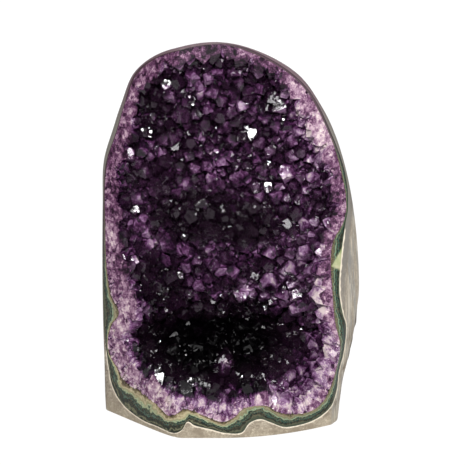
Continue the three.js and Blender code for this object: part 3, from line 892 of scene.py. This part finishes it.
def amethyst_material():
    """Clear violet points, some clouded with lilac, on a milky, sugary rim, with painted shade and
    painted sparkle.
    """
    material, shade = new_material("amethyst", "5a2f66")
    at = shade.place()
    tint, facet, milk = shade.value("tint"), shade.value("facet"), shade.value("milk")
    cut, gloom = shade.value("cut"), shade.value("gloom")
    height = shade.value("up").between(0.2, 1.4)
    along_fibres = shade.add("ShaderNodeAttribute", {"attribute_name": "fibre"}, None, "Vector")
    fibres = shade.noise(along_fibres, 620, 4, 0.65)
    veils = shade.noise(at, 230, 5, 0.68)
    clusters = shade.noise(at, 105, 2, 0.5)
    region = shade.noise(at, 42, 3, 0.55)
    painted_sparkle = shade.noise(at, 1300, 3, 0.7).between(0.54, 0.66)

    # How pale a grown crystal is: by crystal and face, by veils in it, and milky at the root,
    # with painted shade low between the points and in the pocket, and specks of painted sparkle
    paleness = 0.26 + (tint - 0.5) * 0.3 + (facet - 0.5) * 0.15 + (veils - 0.5) * 1.6
    paleness = paleness + (clusters - 0.5) * 0.9 + (region - 0.5) * 1.2 - gloom * 1.2
    paleness = paleness + (height - 0.5) * 0.3 * (1.0 - milk) + milk * (0.6 + (fibres - 0.5) * 1.6)
    paleness = paleness + painted_sparkle * (0.14 + milk * 0.3 - gloom * 0.1)
    grown = shade.ramp(paleness, [
        (0.0, "060206"), (0.22, "220b25"), (0.46, "5e325c"), (0.7, "9b769c"), (1.0, "e0cdcd"),
    ])

    # How pale the ground rim is: fibres that run outwards, broken grains and white specks of
    # painted sparkle
    sugar = 0.17 + (fibres - 0.5) * 0.5 + (veils - 0.5) * 1.3 + (clusters - 0.5) * 0.6
    sugar = sugar + (shade.cells(at, 560) - 0.5) * 0.4 + painted_sparkle * 0.25 + milk * 0.45
    ground_down = shade.ramp(sugar, [
        (0.0, "060206"), (0.22, "230e21"), (0.46, "633b5b"), (0.7, "a8889c"), (1.0, "e6d8d2"),
    ])

    # Small steps on the faces, of which some places and the pocket under painted shade have few
    unevenness = 0.05 + 0.36 * clusters.between(0.42, 0.6) * (1.0 - gloom.between(0.3, 1.0) * 0.6)
    leaning = shade.tilted(at, 720, unevenness)
    # The clear points' base colour goes near black where shade is painted
    glassy = shade.principled({
        "Base Color": gloom.mix(tint.mix("7c4678", "b07ba8"), "120812"),
        "Roughness": 0.04,
        "IOR": 1.544,
        "Transmission Weight": 0.94,
        "Normal": leaning,
    })
    cloudy = shade.principled({
        "Base Color": grown,
        "Roughness": 0.16,
        "IOR": 1.544,
        "Transmission Weight": 0.15,
        "Normal": shade.bump(veils, 0.0003, leaning),
    })
    ground = shade.principled({
        "Base Color": ground_down,
        "Roughness": 0.5,
        "Specular IOR Level": 0.15,
    })
    cloudiness = (tint * 0.5 + region + milk * 1.4 - gloom * 0.6).between(0.45, 1.05) * 0.9 + 0.06
    surface = shade.mix_shaders(cut, shade.mix_shaders(cloudiness, glassy, cloudy), ground)
    absorption = {"Color": (0.62, 0.2, 0.58, 1.0), "Density": 1100.0}
    volume = shade.add("ShaderNodeVolumeAbsorption", None, absorption)
    finish_material(shade, surface, volume)
    return material


def grow_crust(material):
    """The crust as a plain mesh, grown by the node tree on the wall and the rim."""
    rim_rows = lip_rows(crystal_radius(bed_around) - RIM_INSET, LIP_ROWS) + [wall_row(LIP_WAY)]
    meshes = {
        "Bed": skin_mesh("crust_bed", crust_bed_rows()),
        "Limit": skin_mesh("ground_limit", ground_limit_rows()),
        "Rim": skin_mesh("rim_sheet", rim_rows, HOLLOW_EYE),
    }
    helpers = {name: bpy.data.objects.new(mesh.name, mesh) for name, mesh in meshes.items()}
    wall = skin_mesh("growth_sheet", wall_rows(LIP_WAY, GROWTH_ROWS), HOLLOW_EYE)
    grower = bpy.data.objects.new("crystal_growth", wall)
    bpy.context.scene.collection.objects.link(grower)
    modifier = grower.modifiers.new("druse", "NODES")
    modifier.node_group = druse_tree()
    values = {
        **helpers, "Kinds": kinds, "Material": material, "Seed": GROWTH_SEED, "Tilt": CRYSTAL_TILT,
        "Eye": [float(v) for v in (np.array(HOLLOW_EYE) + TO_FRAME) * MM],
    }
    for size, lengths in CRYSTAL_SIZES.items():
        for name, length in zip(SIZE_INPUTS, lengths):
            values[f"{size} {name}"] = length * MM
    for socket in modifier.node_group.interface.items_tree:
        if socket.in_out == "INPUT" and socket.name in values:
            modifier[socket.identifier] = values[socket.name]
    graph = bpy.context.evaluated_depsgraph_get()
    mesh = bpy.data.meshes.new_from_object(
        grower.evaluated_get(graph), preserve_all_data_layers=True, depsgraph=graph,
    )
    for spent in (grower, *helpers.values()):
        bpy.data.objects.remove(spent)
    mesh.name = "crystal_crust_dressed"
    return mesh


amethyst = amethyst_material()
crust_mesh = grow_crust(amethyst)
crust_mesh.update()
crust_places = stone_places(crust_mesh)
crust_angle, crust_from_middle = polar(crust_places)
from_lining = crystal_radius(crust_angle) - crust_from_middle
behind_rim = crust_places[:, 1] - face_y(crust_places[:, 0], crust_places[:, 2])
degrees = np.degrees(crust_angle)
width = np.interp(degrees, *np.transpose(MILK_WIDTH))
milk = np.interp(degrees, *np.transpose(MILK)) * (1 - smoothstep(from_lining, 0.45 * width, width))
milk *= 1 - smoothstep(behind_rim, *MILK_DEPTH)
add_values(crust_mesh, "milk", milk)
# The faces that were cut and ground flat with the face of the stone
face_middles = np.empty(len(crust_mesh.polygons) * 3)
crust_mesh.polygons.foreach_get("center", face_middles)
face_middles = face_middles.reshape(-1, 3) / MM - TO_FRAME
behind_cut = face_middles[:, 1] - face_y(face_middles[:, 0], face_middles[:, 2])
add_values(crust_mesh, "cut", behind_cut < CUT_DEPTH, "FACE")
# Painted shade on the crystals, set by the zones; the bright spots take it off, and past none
# paint the crystals paler
gloom = np.zeros(len(crust_places))
for (x, z), (reach_x, reach_z), strength in PAINTED_SHADE_ZONES:
    far = np.hypot((crust_places[:, 0] - x) / reach_x, (crust_places[:, 2] - z) / reach_z)
    gloom = np.maximum(gloom, strength * (1 - smoothstep(far, 0.55, 1.2)))
for (x, z), reach, strength in BRIGHT:
    far = np.hypot(crust_places[:, 0] - x, crust_places[:, 2] - z) / reach
    gloom -= strength * (1 - smoothstep(far, 0.5, 1.0))
add_values(crust_mesh, "gloom", gloom)
# Fibres run out from the middle: the pattern is drawn out to a quarter of its scale that way
fibre = [80 * np.cos(crust_angle), 80 * np.sin(crust_angle), 0.25 * from_lining]
fibre = np.stack(fibre, axis=1) * MM
fibre_values = crust_mesh.attributes.new("fibre", "FLOAT_VECTOR", "POINT").data
fibre_values.foreach_set("vector", fibre.ravel())
crust_mesh.polygons.foreach_set("use_smooth", [False] * len(crust_mesh.polygons))
add_piece("amethyst_crust", crust_mesh, amethyst, "crystal_crust")

# The stage: a pale floor, soft light and the camera of the photograph
FLOOR_SIZE = 6.0
CAMERA_ELEVATION = math.radians(17)
CAMERA_DISTANCE = 0.838
CAMERA_LENS = 120
CAMERA_TARGET = Vector((0.001, 0.0058, 0.0961))
# Name, side that it shines from, strength, and width in degrees
LAMPS = [
    ("key", (-0.2, -0.72, 0.66), 2.8, 16),
    ("fill", (0.62, -0.72, 0.3), 1.7, 30),
    ("behind", (0.15, 0.8, 0.42), 1.5, 40),
]


def floor():
    mesh = bpy.data.meshes.new("floor")
    half = FLOOR_SIZE / 2
    corners = [(-half, -half, 0), (half, -half, 0), (half, half, 0), (-half, half, 0)]
    mesh.from_pydata(corners, [], [(0, 1, 2, 3)])
    material, shade = new_material("floor_white", "ffffff")
    paper = shade.add("ShaderNodeBsdfDiffuse", None, {"Color": (0.5, 0.5, 0.5, 1.0)})
    lit = shade.add("ShaderNodeEmission", None, {"Color": (1.0, 1.0, 1.0, 1.0), "Strength": 1.08})
    seen = shade.add("ShaderNodeLightPath", None, None, "Is Camera Ray")
    finish_material(shade, shade.mix_shaders(seen * 0.92, paper, lit))
    mesh.materials.append(material)
    plane = bpy.data.objects.new("floor", mesh)
    bpy.context.scene.collection.objects.link(plane)


def sun(name, way, strength, width):
    """A far, soft lamp."""
    light = bpy.data.lights.new(name, "SUN")
    light.energy = strength
    light.angle = math.radians(width)
    lamp = bpy.data.objects.new(name, light)
    lamp.rotation_euler = Vector(way).to_track_quat("Z", "Y").to_euler()
    bpy.context.scene.collection.objects.link(lamp)


def studio():
    """White where the camera looks past the stone, and a soft light from above elsewhere."""
    world = bpy.data.worlds.new("studio")
    world.use_nodes = True
    world.node_tree.nodes.clear()
    shade = Shade(world.node_tree)
    seen = shade.add("ShaderNodeLightPath", None, None, "Is Camera Ray")
    way = shade.add("ShaderNodeTexCoord")
    height = shade.add("ShaderNodeSeparateXYZ", None, {"Vector": way}, "Z")
    glow = height.between(0.35, 0.9) * 0.5 + 0.01
    room = shade.add("ShaderNodeBackground", None, {"Color": (1, 1, 1, 1), "Strength": glow})
    backdrop = shade.add("ShaderNodeBackground", None, {"Color": (1, 1, 1, 1), "Strength": 1.0})
    both = shade.mix_shaders(seen, room, backdrop)
    end = shade.tree.nodes.new("ShaderNodeOutputWorld")
    shade.tree.links.new(both.socket, end.inputs["Surface"])
    bpy.context.scene.world = world


floor()
studio()
for lamp in LAMPS:
    sun(*lamp)
camera_data = bpy.data.cameras.new("camera")
camera_data.lens = CAMERA_LENS
camera_data.sensor_width = 36
camera = bpy.data.objects.new("camera", camera_data)
towards_stone = Vector((0, math.cos(CAMERA_ELEVATION), -math.sin(CAMERA_ELEVATION)))
camera.location = CAMERA_TARGET - CAMERA_DISTANCE * towards_stone
camera.rotation_euler = towards_stone.to_track_quat("-Z", "Y").to_euler()
bpy.context.scene.collection.objects.link(camera)
bpy.context.scene.camera = camera
bpy.context.scene.view_settings.view_transform = "Standard"
